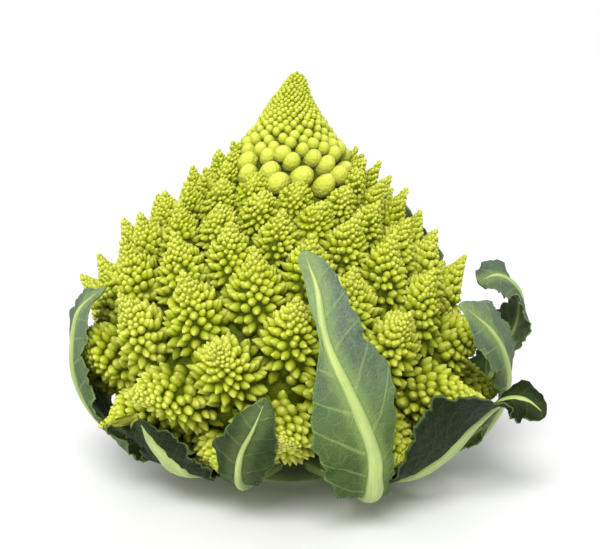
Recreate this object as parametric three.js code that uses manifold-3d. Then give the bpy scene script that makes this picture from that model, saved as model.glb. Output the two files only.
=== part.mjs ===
// A whole romanesco head resting on the cut face of its stem, with the outer leaves that cup it.
// The curd is a self-similar cone: florets sit on it in a golden-angle spiral that grows from the
// apex down, and each floret carries its own spiral of buds in the same way. Under it is the thick
// stem, and round it are leaves, each a waved blade with a pale rib that runs on into its stalk.
// Millimetres, +Z up, origin in the middle of the stem's cut face. The photograph's viewer looks
// along +Y, and azimuths are degrees from +X towards +Y, so that -90 faces the viewer.
import * as THREE from "three";
import { ConvexHull } from "three/addons/math/ConvexHull.js";
import { mergeVertices } from "three/addons/utils/BufferGeometryUtils.js";
import Module from "manifold-3d";

const wasm = await Module();
wasm.setup();

// Driving dimensions.
const HEAD_HEIGHT = 171; // curd's bare apex above the cut face
const CORE_RADIUS = 66; // curd under its florets, at its widest
const LARGEST_FLORET = 31; // spacing of the oldest florets
const FLORET_GROWTH = 0.23; // a floret's spacing as a share of its distance down from the apex
const STEM_RADIUS = 21;
const BLADE_THICKNESS = 1.2;
const GAP = 0.35; // left between pieces that grow against each other

const GOLDEN_ANGLE = Math.PI * (3 - Math.sqrt(5));
const DEGREE = Math.PI / 180;

const COLOURS = {
  curd: { color: 0xb3c244, roughness: 0.55 },
  stem: { color: 0xc3cc8e, roughness: 0.6 },
  blade: { color: 0x5c7a54, roughness: 0.6 },
  rib: { color: 0xb4c474, roughness: 0.5 },
};

const mix = (a, b, t) => a + (b - a) * t;
const clamp01 = (t) => Math.min(1, Math.max(0, t));
const smooth = (low, high, x) => {
  const t = clamp01((x - low) / (high - low));
  return t * t * (3 - 2 * t);
};
// A seeded draw between -1 and 1: the same for the same piece and purpose.
const draw = (index, purpose) => {
  const s = Math.sin(index * 12.9898 + purpose * 78.233) * 43758.5453;
  return 2 * (s - Math.floor(s)) - 1;
};

// A surface of revolution's outline, from its tip down to its root, by distance along it.
class Outline {
  constructor(points) {
    const steps = 240;
    const curve = new THREE.SplineCurve(points.map(([r, z]) => new THREE.Vector2(r, z)));
    this.length = curve.getLength();
    this.points = curve.getSpacedPoints(steps);
    this.step = this.length / steps;
    // Conformal distance from the tip, which keeps the buds' pattern true on a sphere.
    this.conformal = [0];
    for (let i = 1; i <= steps; i++) {
      const r = Math.max((this.points[i - 1].x + this.points[i].x) / 2, this.length / 400);
      this.conformal.push(this.conformal[i - 1] + this.step / r);
    }
  }
  at(along) {
    const x = Math.min(Math.max(along / this.step, 0), this.points.length - 1.001);
    const i = Math.floor(x);
    const [a, b] = [this.points[i], this.points[i + 1]];
    const facing = Math.atan2(a.y - b.y, b.x - a.x); // the normal's angle from the axis
    return {
      r: Math.max(mix(a.x, b.x, x - i), 0),
      z: mix(a.y, b.y, x - i),
      facing,
      conformal: mix(this.conformal[i], this.conformal[i + 1], x - i),
    };
  }
  alongAt(conformal) {
    let i = this.conformal.findIndex((c) => c > conformal);
    if (i < 0) i = this.conformal.length - 1;
    i = Math.max(i, 1);
    const [a, b] = [this.conformal[i - 1], this.conformal[i]];
    return (i - 1 + clamp01((conformal - a) / (b - a))) * this.step;
  }
}

// How far a bud or floret leans from its parent's axis where the surface faces `facing`: those
// near the tip stand almost along the axis, and those low down point out.
const leanOf = (facing) => facing * mix(0.3, 0.75, smooth(62 * DEGREE, 115 * DEGREE, facing));

// The golden-angle spiral down an outline: each shoot takes a patch as wide as its spacing.
function spiral(outline, spacingAt, first, last, start = 0) {
  const packing = 0.87; // share of its spacing's square that a shoot in a spiral covers
  const shoots = [];
  for (let along = first, n = 0; along < last; n++) {
    const { r } = outline.at(along);
    const spacing = spacingAt(along);
    shoots.push({ along, turn: start - n * GOLDEN_ANGLE, spacing });
    along += (packing * spacing * spacing) / (2 * Math.PI * r);
  }
  return shoots;
}

const pointOn = (outline, along, turn) => {
  const { r, z } = outline.at(along);
  return new THREE.Vector3(r * Math.cos(turn), r * Math.sin(turn), z);
};
const directionOf = (lean, turn) =>
  new THREE.Vector3(Math.sin(lean) * Math.cos(turn), Math.sin(lean) * Math.sin(turn), Math.cos(lean));

// Which shoots are neighbours, and the valley points that ring each one. A valley lies where three
// shoots meet. The outline's root counts as one more shoot, the last, so that the cells close.
function cellsOf(outline, shoots) {
  const middle = outline.at(outline.length / 2).conformal;
  const corners = shoots.map(({ along, turn }) =>
    directionOf(2 * Math.atan(Math.exp(outline.at(along).conformal - middle)), turn),
  );
  corners.push(new THREE.Vector3(0, 0, -1));
  corners.forEach((corner, i) => (corner.index = i));

  const valleys = [];
  const faceAfter = new Map(); // by the edge from one shoot to the next
  for (const face of new ConvexHull().setFromPoints(corners).faces) {
    const meeting = [0, 1, 2].map((k) => face.getEdge(k).head().point);
    const centre = meeting.reduce((sum, p) => sum.add(p), new THREE.Vector3()).normalize();
    const polar = Math.acos(THREE.MathUtils.clamp(centre.z, -1, 1));
    meeting.forEach((p, k) => {
      const [next, last] = [meeting[(k + 1) % 3].index, meeting[(k + 2) % 3].index];
      faceAfter.set(`${p.index},${next}`, { valley: valleys.length, last });
      if (!corners[p.index].start) corners[p.index].start = { next };
    });
    valleys.push({
      along: outline.alongAt(middle + Math.log(Math.tan(polar / 2))),
      turn: Math.atan2(centre.y, centre.x),
    });
  }
  const rings = corners.map(({ index, start }) => {
    const ring = [];
    let next = start.next;
    do {
      const { valley, last } = faceAfter.get(`${index},${next}`);
      ring.push(valley);
      next = last;
    } while (next !== start.next);
    return ring;
  });
  return { valleys, rings, rootRing: rings.pop() };
}

// Points and triangles of one closed mesh as it grows.
class Surface {
  positions = [];
  index = [];
  point(p) {
    this.positions.push(p.x, p.y, p.z);
    return this.positions.length / 3 - 1;
  }
  at(i) {
    return new THREE.Vector3().fromArray(this.positions, 3 * i);
  }
  fan(tip, ring) {
    ring.forEach((p, k) => this.index.push(tip, p, ring[(k + 1) % ring.length]));
  }
  // A band between two rings about one axis, each in the order of its own angles.
  band(inner, outer) {
    const byAngle = (ring) => [...ring].sort((p, q) => p.angle - q.angle);
    const [a, b] = [byAngle(inner), byAngle(outer)];
    const angleOf = (ring, k) => ring[k % ring.length].angle + (k < ring.length ? 0 : 2 * Math.PI);
    let [i, j] = [0, 0];
    while (i < a.length || j < b.length) {
      const [p, q] = [a[i % a.length].id, b[j % b.length].id];
      const inward = j >= b.length || (i < a.length && angleOf(a, i + 1) < angleOf(b, j + 1));
      if (inward) this.index.push(p, q, a[++i % a.length].id);
      else this.index.push(p, q, b[++j % b.length].id);
    }
  }
  // A slab over a grid of pairs of points, outer and inner, with the same diagonals on both faces.
  slab(grid) {
    const quad = (a, b, c, d) => this.index.push(a, b, c, a, c, d);
    const [lastRow, lastColumn] = [grid.length - 1, grid[0].length - 1];
    for (let i = 0; i < lastRow; i++) {
      for (let j = 0; j < lastColumn; j++) {
        const corners = [grid[i][j], grid[i][j + 1], grid[i + 1][j + 1], grid[i + 1][j]];
        const [a, b, c, d] = corners.map((pair) => pair[0]);
        const [e, f, g, h] = corners.map((pair) => pair[1]);
        quad(a, b, c, d);
        this.index.push(e, g, f, e, h, g);
      }
      const [left, right] = [0, lastColumn];
      quad(grid[i][left][1], grid[i][left][0], grid[i + 1][left][0], grid[i + 1][left][1]);
      quad(grid[i][right][0], grid[i][right][1], grid[i + 1][right][1], grid[i + 1][right][0]);
    }
    for (let j = 0; j < lastColumn; j++) {
      quad(grid[0][j][1], grid[0][j + 1][1], grid[0][j + 1][0], grid[0][j][0]);
      quad(grid[lastRow][j][0], grid[lastRow][j + 1][0], grid[lastRow][j + 1][1], grid[lastRow][j][1]);
    }
  }
  geometry() {
    return new THREE.BufferGeometry()
      .setAttribute("position", new THREE.Float32BufferAttribute(this.positions, 3))
      .setIndex(this.index);
  }
}

// Solids for the library that joins and cuts, and meshes back from it.
function solidOf(geometry) {
  const bare = geometry.clone();
  bare.deleteAttribute("normal");
  bare.deleteAttribute("uv");
  const merged = mergeVertices(bare, 1e-4);
  return new wasm.Manifold(
    new wasm.Mesh({
      numProp: 3,
      vertProperties: merged.attributes.position.array,
      triVerts: new Uint32Array(merged.index.array),
    }),
  );
}
function geometryOf(solid) {
  const { vertProperties, triVerts } = solid.getMesh();
  const geometry = new THREE.BufferGeometry()
    .setAttribute("position", new THREE.BufferAttribute(vertProperties, 3))
    .setIndex(new THREE.BufferAttribute(triVerts, 1));
  geometry.computeVertexNormals();
  return geometry;
}

// The curd's core, from the apex down and in under the lowest florets.
const CORE = new Outline(
  [
    [0, 1],
    [0.045, 0.985],
    [0.086, 0.955],
    [0.15, 0.912],
    [0.212, 0.866],
    [0.285, 0.815],
    [0.385, 0.76],
    [0.508, 0.7],
    [0.655, 0.63],
    [0.835, 0.55],
    [1, 0.455],
    [1.07, 0.355],
    [1.01, 0.255],
    [0.87, 0.18],
    [0.64, 0.148],
    [0.35, 0.142],
    [0, 0.142],
  ].map(([r, z]) => [r * CORE_RADIUS, z * HEAD_HEIGHT]),
);
const LOWEST_FLORET = 178; // distance down the core from the apex
const FIRST_BUD = 6;
const SPIRAL_START = 138 * DEGREE;
const SMALLEST_FLORET = 11; // spacing under which a shoot is still a plain bud
const APEX_RELIEF = 0.62; // of the spacing

const floretSpacing = (along) => {
  const sharpness = 6;
  return ((FLORET_GROWTH * along) ** -sharpness + LARGEST_FLORET ** -sharpness) ** (-1 / sharpness);
};

// A floret's outline above its cell of the core, in units of the cell's radius.
const FLORET_RADIUS = 0.5; // of the spacing
const FLORET_HEIGHT = 2;
const FLORET = new Outline([
  ...[
    [0, 1],
    [0.1, 0.87],
    [0.25, 0.7],
    [0.45, 0.51],
    [0.66, 0.35],
    [0.84, 0.2],
    [0.96, 0.07],
    [1, 0],
  ].map(([r, z]) => [r, z * FLORET_HEIGHT]),
  [0.6, -0.3],
  [0, -0.4],
]);
const FLORET_RIM = 2.2; // distance down its outline to the edge of its cell
const LOWEST_BUD = 1.9;
const FIRST_FLORET_BUD = 0.38;
const BUD_RELIEF = 0.32; // of a bud's spacing

// A floret over the cell that `ring` outlines: a cone of buds larger than life.
function addFloret(surface, shoot, ring, seed) {
  const { facing } = CORE.at(shoot.along);
  const axis = directionOf(leanOf(facing) + draw(seed, 1) * 5 * DEGREE, shoot.turn + draw(seed, 2) * 3 * DEGREE);
  const seat = pointOn(CORE, shoot.along, shoot.turn);
  const across = directionOf(facing + Math.PI / 2, shoot.turn); // down the core's slope
  const aside = new THREE.Vector3(-Math.sin(shoot.turn), Math.cos(shoot.turn), 0);
  const stunted = mix(1, 0.7, smooth(115 * DEGREE, 160 * DEGREE, facing)); // on the curd's underside
  const height = FLORET_RADIUS * shoot.spacing * stunted * (1 + 0.1 * draw(seed, 3));

  const rim = ring.map((id) => {
    const offset = surface.at(id).sub(seat);
    const [x, y] = [offset.dot(across), offset.dot(aside)];
    return { id, offset, x, y, angle: Math.atan2(y, x) };
  });
  // The vector from the seat to the cell's edge at an angle.
  const edgeAt = (angle) => {
    const [cos, sin] = [Math.cos(angle), Math.sin(angle)];
    for (let k = 0; k < rim.length; k++) {
      const [p, q] = [rim[k], rim[(k + 1) % rim.length]];
      const [before, after] = [p.x * sin - p.y * cos, q.x * sin - q.y * cos];
      const share = before / (before - after);
      const edge = p.offset.clone().lerp(q.offset, share);
      const ahead = edge.dot(across) * cos + edge.dot(aside) * sin > 0;
      if (before * after <= 0 && ahead) return edge;
    }
    throw new Error("a floret's seat lies outside its cell");
  };
  const radius = rim.reduce((sum, p) => sum + p.offset.length(), 0) / rim.length;
  const place = ({ along, turn, relief = 0 }) => {
    const { r, z, facing: budFacing } = FLORET.at(along);
    const edge = edgeAt(turn);
    const reach = mix(radius, edge.length(), r * r) * r;
    const outward = edge.normalize();
    const lean = leanOf(budFacing);
    return seat
      .clone()
      .addScaledVector(outward, reach + relief * radius * Math.sin(lean))
      .addScaledVector(axis, z * height + relief * radius * Math.cos(lean));
  };

  const oldestBud = mix(1, 0.6, smooth(SMALLEST_FLORET, 24, shoot.spacing));
  const spacingAt = (along) => oldestBud * Math.min(1, 0.5 + 0.35 * along);
  const buds = spiral(FLORET, spacingAt, FIRST_FLORET_BUD, LOWEST_BUD);
  for (const bud of buds) {
    bud.turn += draw(seed, 4) * Math.PI;
    bud.relief = BUD_RELIEF * bud.spacing;
  }
  buds.unshift({ along: 0, turn: 0, relief: 0.1 });
  const cells = cellsOf(FLORET, buds);
  const placed = cells.valleys.map(({ along, turn }) => {
    const held = Math.min(along, FLORET_RIM * 0.93);
    return { id: surface.point(place({ along: held, turn })), angle: Math.atan2(Math.sin(turn), Math.cos(turn)) };
  });
  buds.forEach((bud, k) => {
    surface.fan(
      surface.point(place(bud)),
      cells.rings[k].map((v) => placed[v].id),
    );
  });
  surface.band(
    cells.rootRing.map((v) => placed[v]),
    rim,
  );
}
// The head leans a little: its body to one side, its apex to the other.
const leanAside = (z) => {
  const [body, neck] = [mix(-6, 0.5, smooth(108, 145, z)), 2.2 * smooth(158, HEAD_HEIGHT, z)];
  return (body + neck) * smooth(25, 70, z);
};

// The whole curd as one closed surface: plain buds round the apex, then florets.
function curdGeometry() {
  const shoots = spiral(CORE, floretSpacing, FIRST_BUD, LOWEST_FLORET, SPIRAL_START);
  shoots.unshift({ along: 0, turn: 0, spacing: 1.5 });
  const { valleys, rings, rootRing } = cellsOf(CORE, shoots);
  const surface = new Surface();
  valleys.forEach(({ along, turn }) => surface.point(pointOn(CORE, along, turn)));
  shoots.forEach((shoot, seed) => {
    if (shoot.spacing >= SMALLEST_FLORET) {
      addFloret(surface, shoot, rings[seed], seed);
      return;
    }
    const lean = directionOf(leanOf(CORE.at(shoot.along).facing), shoot.turn);
    const tip = pointOn(CORE, shoot.along, shoot.turn).addScaledVector(lean, APEX_RELIEF * shoot.spacing);
    surface.fan(surface.point(tip), rings[seed]);
  });
  surface.fan(surface.point(pointOn(CORE, CORE.length, 0)), rootRing);
  const curd = surface.geometry();
  const position = curd.attributes.position;
  for (let i = 0; i < position.count; i++) {
    position.setX(i, position.getX(i) + leanAside(position.getZ(i)));
  }
  return curd;
}

// The leaves, each by points along its midrib from inside the stem to the tip: azimuth in degrees,
// radius, height, and the blade's width towards lower and towards higher azimuths. The blade starts
// at the third point. Stalks leave the stem on two levels, and the lower leaves lie outermost.
const LEAVES = {
  leaf_front: [
    [-60, 18, 10],
    [-61, 42, 10],
    [-63, 61, 11.5, 7, 7],
    [-66, 77, 14, 10, 7],
    [-69, 89, 24, 16, 7],
    [-71, 95, 38, 20, 9],
    [-76, 96, 59, 17, 17],
    [-81.5, 92, 80, 3, 14.5],
    [-83, 83, 98, 4, 10],
    [-86, 74, 111, 3, 3],
  ],
  leaf_front_small: [
    [-112, 18, 10],
    [-110.5, 42, 11],
    [-108, 60, 14, 7, 7],
    [-105, 76, 23, 7, 9],
    [-102, 86, 36, 11, 13],
    [-98, 93, 48, 8, 9],
    [-95, 94, 60, 2, 2],
  ],
  leaf_front_left: [
    [-139, 18, 19.5],
    [-136, 40, 18],
    [-133, 55, 15.5, 16, 13],
    [-131, 67, 17, 22, 17],
    [-132, 73.5, 23.5, 20, 18],
    [-134, 79, 32, 20, 15],
    [-136, 82, 40, 4, 4],
  ],
  leaf_left: [
    [176, 18, 10],
    [177, 41, 9.5],
    [180, 59, 11, 18, 18],
    [185, 73, 18, 28, 26],
    [190, 84.5, 31, 34, 31],
    [194, 91.5, 48, 34, 25],
    [197, 92.5, 64, 24, 20],
    [200, 90, 78, 12, 14],
    [204, 81, 88, 3, 3],
  ],
  leaf_left_back: [
    [150, 18, 19.5],
    [150, 41, 17],
    [150, 58, 16, 12, 10],
    [150, 73, 21, 20, 16],
    [150, 84, 34, 24, 18],
    [149, 88, 54, 22, 17],
    [148, 86, 74, 12, 12],
    [147, 80, 88, 2, 2],
  ],
  leaf_back_left: [
    [122, 18, 10],
    [122, 42, 9.5],
    [123, 62, 11, 12, 12],
    [124, 79, 18, 22, 18],
    [125, 90, 32, 26, 18],
    [126, 94, 52, 25, 18],
    [127, 93, 72, 20, 16],
    [128, 85, 94, 12, 12],
    [128, 74, 111, 2, 2],
  ],
  leaf_back: [
    [88, 18, 19.5],
    [88, 41, 17],
    [88, 58, 16, 12, 12],
    [89, 74, 21, 20, 18],
    [90, 84, 34, 24, 22],
    [91, 88, 54, 24, 22],
    [92, 87, 72, 20, 18],
    [92, 81, 88, 11, 11],
    [92, 76, 98, 2, 2],
  ],
  leaf_back_right: [
    [52, 18, 10],
    [52, 42, 9.5],
    [51, 62, 11, 12, 12],
    [51, 79, 18, 20, 20],
    [50, 90, 32, 22, 24],
    [50, 94, 52, 22, 22],
    [49, 93, 72, 17, 17],
    [49, 85, 92, 12, 12],
    [48, 75, 109, 2, 2],
  ],
  leaf_right_hooked: [
    [20, 18, 19.5],
    [18, 41, 17],
    [15, 59, 15.5, 10, 12],
    [12, 76, 21, 13, 18],
    [10, 88, 34, 14, 22],
    [9, 96, 50, 15, 22],
    [8, 101, 64, 18, 20],
    [8, 99.5, 76, 17, 18],
    [8, 91, 82.5, 15, 15],
    [8, 82, 80, 8, 8],
  ],
  leaf_right: [
    [-4, 18, 10],
    [-5, 42, 9.5],
    [-7, 61, 11, 9, 9],
    [-10, 78, 18, 13, 15],
    [-13, 88, 31, 13, 19],
    [-17, 93, 46, 11, 21],
    [-23, 93, 61, 13, 18],
    [-30, 90, 74, 12, 12],
    [-39, 85, 85.5, 2, 3],
  ],
  leaf_right_low: [
    [-50, 18, 19.5],
    [-50, 40, 17],
    [-49, 57, 14.5, 12, 8],
    [-46, 71, 16, 22, 8],
    [-40, 81, 24, 41, 8],
    [-34, 88, 35, 35, 8],
    [-29, 96, 44, 24, 7.5],
    [-27, 105, 45, 12, 10],
    [-26, 113, 39, 6, 5],
  ],
};
const BLADE_FROM = 2; // the point where a blade starts
const ROWS_A_POINT = 2;
const MARGIN_WAVE = 1.3;
const STALK_HALF_WIDTH = 6.5;
const RIB_DEPTH = 6;

// A smooth curve through evenly counted values, at a place between two of them.
function through(values, place) {
  const i = Math.min(Math.floor(place), values.length - 2);
  const [b, c] = [values[i], values[i + 1]];
  const a = values[i - 1] ?? 2 * b - c;
  const d = values[i + 2] ?? 2 * c - b;
  const t = place - i;
  return b + (t * (c - a + t * (2 * a - 5 * b + 4 * c - d + t * (3 * (b - c) + d - a)))) / 2;
}

class Leaf {
  constructor(points, seed) {
    this.seed = seed;
    this.last = points.length - 1;
    this.columns = [0, 1, 2, 3, 4].map((k) => points.map((p) => p[k] ?? 0));
  }
  midrib(place) {
    const [azimuth, r, z] = this.columns.slice(0, 3).map((values) => through(values, place));
    return pointOn({ at: () => ({ r, z }) }, 0, azimuth * DEGREE);
  }
  halfWidths(place) {
    return [3, 4].map((k) => Math.max(through(this.columns[k], place), 1.5));
  }
  // The blade's middle surface, `across` mm from the midrib.
  surface(place, across) {
    const step = 0.01;
    const [low, high] = [Math.max(place - step, 0), place + step];
    const [azimuth, r, z] = this.columns.slice(0, 3).map((values) => through(values, place));
    const [rise, reach] = [2, 1].map((k) => through(this.columns[k], high) - through(this.columns[k], low));
    const radial = directionOf(Math.PI / 2, azimuth * DEGREE);
    const tangent = this.midrib(high).sub(this.midrib(low)).normalize();
    const outward = radial.clone().multiplyScalar(rise).add(new THREE.Vector3(0, 0, -reach)).normalize();
    const cup = Math.max(outward.dot(radial) / r, 1e-4); // it cups the head
    outward.addScaledVector(tangent, -outward.dot(tangent)).normalize();
    const aside = tangent.clone().cross(outward);
    const [before, after] = this.halfWidths(place);
    const share = Math.min(Math.abs(across) / (across < 0 ? before : after), 1);
    const waved = MARGIN_WAVE * share * share * smooth(BLADE_FROM, BLADE_FROM + 1, place);
    const wave = waved * Math.sin(4.2 * place + 3.7 * this.seed + 2.2 * Math.sign(across));
    return new THREE.Vector3(r * radial.x, r * radial.y, z)
      .addScaledVector(aside, Math.sin(cup * across) / cup)
      .addScaledVector(outward, (Math.cos(cup * across) - 1) / cup + wave);
  }
  // A point `off` mm outward from the middle surface.
  off(place, across, off) {
    const step = 0.02;
    const [low, high] = [Math.max(place - step, 0), place + step];
    const along = this.surface(high, across).sub(this.surface(low, across));
    const normal = this.surface(place, across + 0.2).sub(this.surface(place, across - 0.2));
    return this.surface(place, across).addScaledVector(normal.cross(along).normalize(), off);
  }
  ribHalfWidths(place) {
    const wanted = mix(STALK_HALF_WIDTH, 1, Math.sqrt(place / this.last));
    const [before, after] = this.halfWidths(place);
    if (place < BLADE_FROM) return [wanted, wanted];
    return [Math.min(wanted, before - 0.8), Math.min(wanted, after - 0.8)];
  }
  rows(first, last) {
    const count = Math.floor((last - first) * ROWS_A_POINT);
    return Array.from({ length: count + 1 }, (_, i) => mix(first, last, i / count));
  }
  // A closed blade: the same grid on both faces, joined round the edge.
  blade(thicker = 0, wider = 0) {
    const surface = new Surface();
    const half = BLADE_THICKNESS / 2 + thicker;
    const longer = wider / 15; // a point is about 15 mm on
    const grid = this.rows(BLADE_FROM - longer, this.last + longer).map((place) => {
      const [before, after] = this.halfWidths(place);
      const [ribBefore, ribAfter] = this.ribHalfWidths(place);
      const across = [
        -before - wider,
        -(before + ribBefore) / 2,
        -ribBefore,
        0,
        ribAfter,
        (after + ribAfter) / 2,
        after + wider,
      ];
      return across.map((u) => [half, -half].map((off) => surface.point(this.off(place, u, off))));
    });
    surface.slab(grid);
    return surface.geometry();
  }
  // The rib on the blade's outer face, which runs on as the stalk into the stem.
  rib() {
    const surface = new Surface();
    const lift = BLADE_THICKNESS / 2 + GAP;
    const grid = this.rows(0, this.last - 0.5).map((place) => {
      const [before, after] = this.ribHalfWidths(place);
      const depth = mix(RIB_DEPTH, 1, Math.sqrt(place / this.last));
      return [
        [-before, 0.3],
        [-before * 0.45, 1],
        [after * 0.45, 1],
        [after, 0.3],
      ].map(([u, height]) => [
        surface.point(this.off(place, u, lift + height * depth)),
        surface.point(this.off(place, u, lift)),
      ]);
    });
    surface.slab(grid);
    return surface.geometry();
  }
}

// The stem, or with `room` the space kept free round it.
function stem(room = 0) {
  const top = CORE.at(CORE.length).z - GAP + room;
  const outline = [
    [0, -room],
    [STEM_RADIUS + room, -room],
    [STEM_RADIUS + 0.5 + room, 8],
    [STEM_RADIUS + 1 + room, 16],
    [STEM_RADIUS + 4 + room, top],
    [0, top],
  ];
  const points = outline.map(([r, z]) => new THREE.Vector2(r, z));
  return solidOf(new THREE.LatheGeometry(points, 24).rotateX(Math.PI / 2));
}

const part = new THREE.Group();
part.name = "romanesco_head";
function addNode(name, solid, colours) {
  const material = new THREE.MeshStandardMaterial({ ...colours, metalness: 0, flatShading: true });
  const mesh = new THREE.Mesh(geometryOf(solid), material);
  mesh.name = name;
  part.add(mesh);
}

const leaves = Object.entries(LEAVES).map(([name, points], seed) => ({ name, leaf: new Leaf(points, seed) }));

// Leaves press the florets under them in towards the head's middle.
const PRESS = 1.2;
const PRESSING = new THREE.MeshBasicMaterial({ side: THREE.DoubleSide });
function pressed(curd) {
  const middle = new THREE.Vector3(0, 0, 60);
  const blades = leaves.map(({ leaf }) => new THREE.Mesh(leaf.blade(PRESS, 5), PRESSING));
  const position = curd.attributes.position;
  const ray = new THREE.Raycaster();
  for (let i = 0; i < position.count; i++) {
    const out = new THREE.Vector3().fromBufferAttribute(position, i).sub(middle);
    ray.set(middle, out.clone().normalize());
    const [nearest] = ray.intersectObjects(blades);
    if (nearest && nearest.distance < out.length()) out.setLength(nearest.distance);
    out.add(middle);
    position.setXYZ(i, out.x, out.y, out.z);
  }
  return curd;
}
let curd = solidOf(pressed(curdGeometry()));
for (const { leaf } of leaves) {
  curd = curd.subtract(solidOf(leaf.blade(1.3 * GAP, 1.3 * GAP)));
}
addNode("curd", curd, COLOURS.curd);
addNode("stem", stem(), COLOURS.stem);
leaves.forEach(({ name, leaf }) => {
  addNode(`${name}_blade`, solidOf(leaf.blade()), COLOURS.blade);
  addNode(`${name}_rib`, solidOf(leaf.rib()).subtract(stem(GAP)), COLOURS.rib);
});

export default part;
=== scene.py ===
"""A whole romanesco head on a pale studio floor.

The curd is grown bud by bud: florets sit on the head in a golden-angle spiral, and each floret
carries its own spiral of buds in the same way. Round it are the outer leaves, each a waved blade
with a raised rib that runs on as its stalk into the thick stem. Lengths are millimetres until a
mesh is made, and azimuths are degrees from +X towards +Y, so that -90 faces the camera.
"""

import math

import bpy
import numpy as np
from bpy.props import FloatProperty, FloatVectorProperty, PointerProperty
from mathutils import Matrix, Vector
from mathutils.bvhtree import BVHTree


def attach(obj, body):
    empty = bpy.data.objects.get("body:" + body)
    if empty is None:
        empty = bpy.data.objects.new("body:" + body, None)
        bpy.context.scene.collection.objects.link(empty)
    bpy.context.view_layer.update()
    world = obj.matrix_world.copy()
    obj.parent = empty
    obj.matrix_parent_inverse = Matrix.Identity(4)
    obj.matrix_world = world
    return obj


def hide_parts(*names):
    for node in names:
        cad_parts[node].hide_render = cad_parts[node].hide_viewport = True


bl_info = {
    "name": "Romanesco Head",
    "version": (1, 0, 0),
    "blender": (4, 5, 0),
    "location": "View3D > Sidebar > Romanesco",
    "description": "Grows a romanesco head with its leaves and stem, and lights it on a pale floor",
    "category": "Add Mesh",
}

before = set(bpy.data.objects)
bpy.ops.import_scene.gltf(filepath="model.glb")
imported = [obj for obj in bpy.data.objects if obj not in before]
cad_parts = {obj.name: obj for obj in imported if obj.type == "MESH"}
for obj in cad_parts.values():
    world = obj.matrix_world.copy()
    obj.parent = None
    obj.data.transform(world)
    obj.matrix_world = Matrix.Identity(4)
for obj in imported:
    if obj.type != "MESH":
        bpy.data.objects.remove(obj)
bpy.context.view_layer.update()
MM = 0.001

GOLDEN_ANGLE = math.pi * (3 - math.sqrt(5))
DEGREE = math.pi / 180


# ---- shared arithmetic


def mix(a, b, t):
    return a + (b - a) * t


def smooth(low, high, x):
    t = np.clip((x - low) / (high - low), 0, 1)
    return t * t * (3 - 2 * t)


def draw(index, purpose):
    """A seeded draw between -1 and 1: the same for the same piece and purpose."""
    s = np.sin(np.asarray(index, float) * 12.9898 + purpose * 78.233) * 43758.5453
    return 2 * (s - np.floor(s)) - 1


def unit(vectors):
    return vectors / np.linalg.norm(vectors, axis=-1, keepdims=True)


def soft_least(a, b, sharpness):
    """The smaller of two lengths, eased where they meet; a negative sharpness gives the larger."""
    return (a**-sharpness + b**-sharpness) ** (-1 / sharpness)


def turns(count):
    """Angles spaced evenly round a full turn."""
    return np.arange(count) / count * 2 * math.pi


def around_z(r, turn, z):
    """Points at a radius, an azimuth and a height."""
    return np.stack(np.broadcast_arrays(r * np.cos(turn), r * np.sin(turn), z), -1)


def direction_of(lean, turn):
    """Unit vectors that lean from +Z towards an azimuth."""
    return around_z(np.sin(lean), turn, np.cos(lean))


def lean_of(facing):
    """How far a bud or floret leans from its parent's axis where the surface faces `facing`."""
    return facing * mix(0.3, 0.75, smooth(62 * DEGREE, 115 * DEGREE, facing))


def through(values, place):
    """A smooth curve through evenly counted values, at places between them."""
    values = np.asarray(values, float)
    i = np.clip(np.floor(place), 0, len(values) - 2).astype(int)
    b, c = values[i], values[i + 1]
    a = np.where(i > 0, values[np.maximum(i - 1, 0)], 2 * b - c)
    d = np.where(i + 2 < len(values), values[np.minimum(i + 2, len(values) - 1)], 2 * c - b)
    t = place - i
    cubic = 3 * (b - c) + d - a
    return b + t * (c - a + t * (2 * a - 5 * b + 4 * c - d + t * cubic)) / 2


class Outline:
    """A surface of revolution's outline, from its tip down to its root, by distance along it."""

    STEPS = 240

    def __init__(self, points):
        fine = np.linspace(0, len(points) - 1, 4001) + 1
        held = np.array([points[0], *points, points[-1]], float).T
        r, z = (through(line, fine) for line in held)
        run = np.concatenate([[0], np.cumsum(np.hypot(np.diff(r), np.diff(z)))])
        self.length = run[-1]
        spots = np.linspace(0, self.length, self.STEPS + 1)
        self.r, self.z = (np.interp(spots, run, line) for line in (r, z))

    def at(self, along):
        """Radius, height and the normal's angle from the axis."""
        x = np.clip(np.asarray(along, float) / self.length * self.STEPS, 0, self.STEPS - 0.001)
        i = np.floor(x).astype(int)
        t = x - i
        facing = np.arctan2(self.z[i] - self.z[i + 1], self.r[i + 1] - self.r[i])
        r, z = (mix(line[i], line[i + 1], t) for line in (self.r, self.z))
        return np.maximum(r, 0), z, facing


PACKING = 0.87  # a shoot's patch as a share of its spacing squared


def step_down(outline, along, spacing):
    """How far along an outline the next shoot comes where patches are `spacing` wide."""
    return PACKING * spacing * spacing / (2 * math.pi * float(outline.at(along)[0]))


def spiral(outline, spacing_at, first, last, start=0.0):
    """The golden-angle spiral: each shoot takes a patch as wide as its spacing."""
    along, shoots = first, []
    while along < last:
        spacing = spacing_at(along)
        shoots.append((along, start - len(shoots) * GOLDEN_ANGLE, spacing))
        along += step_down(outline, along, spacing)
    return np.array(shoots)


# ---- mesh building


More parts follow.
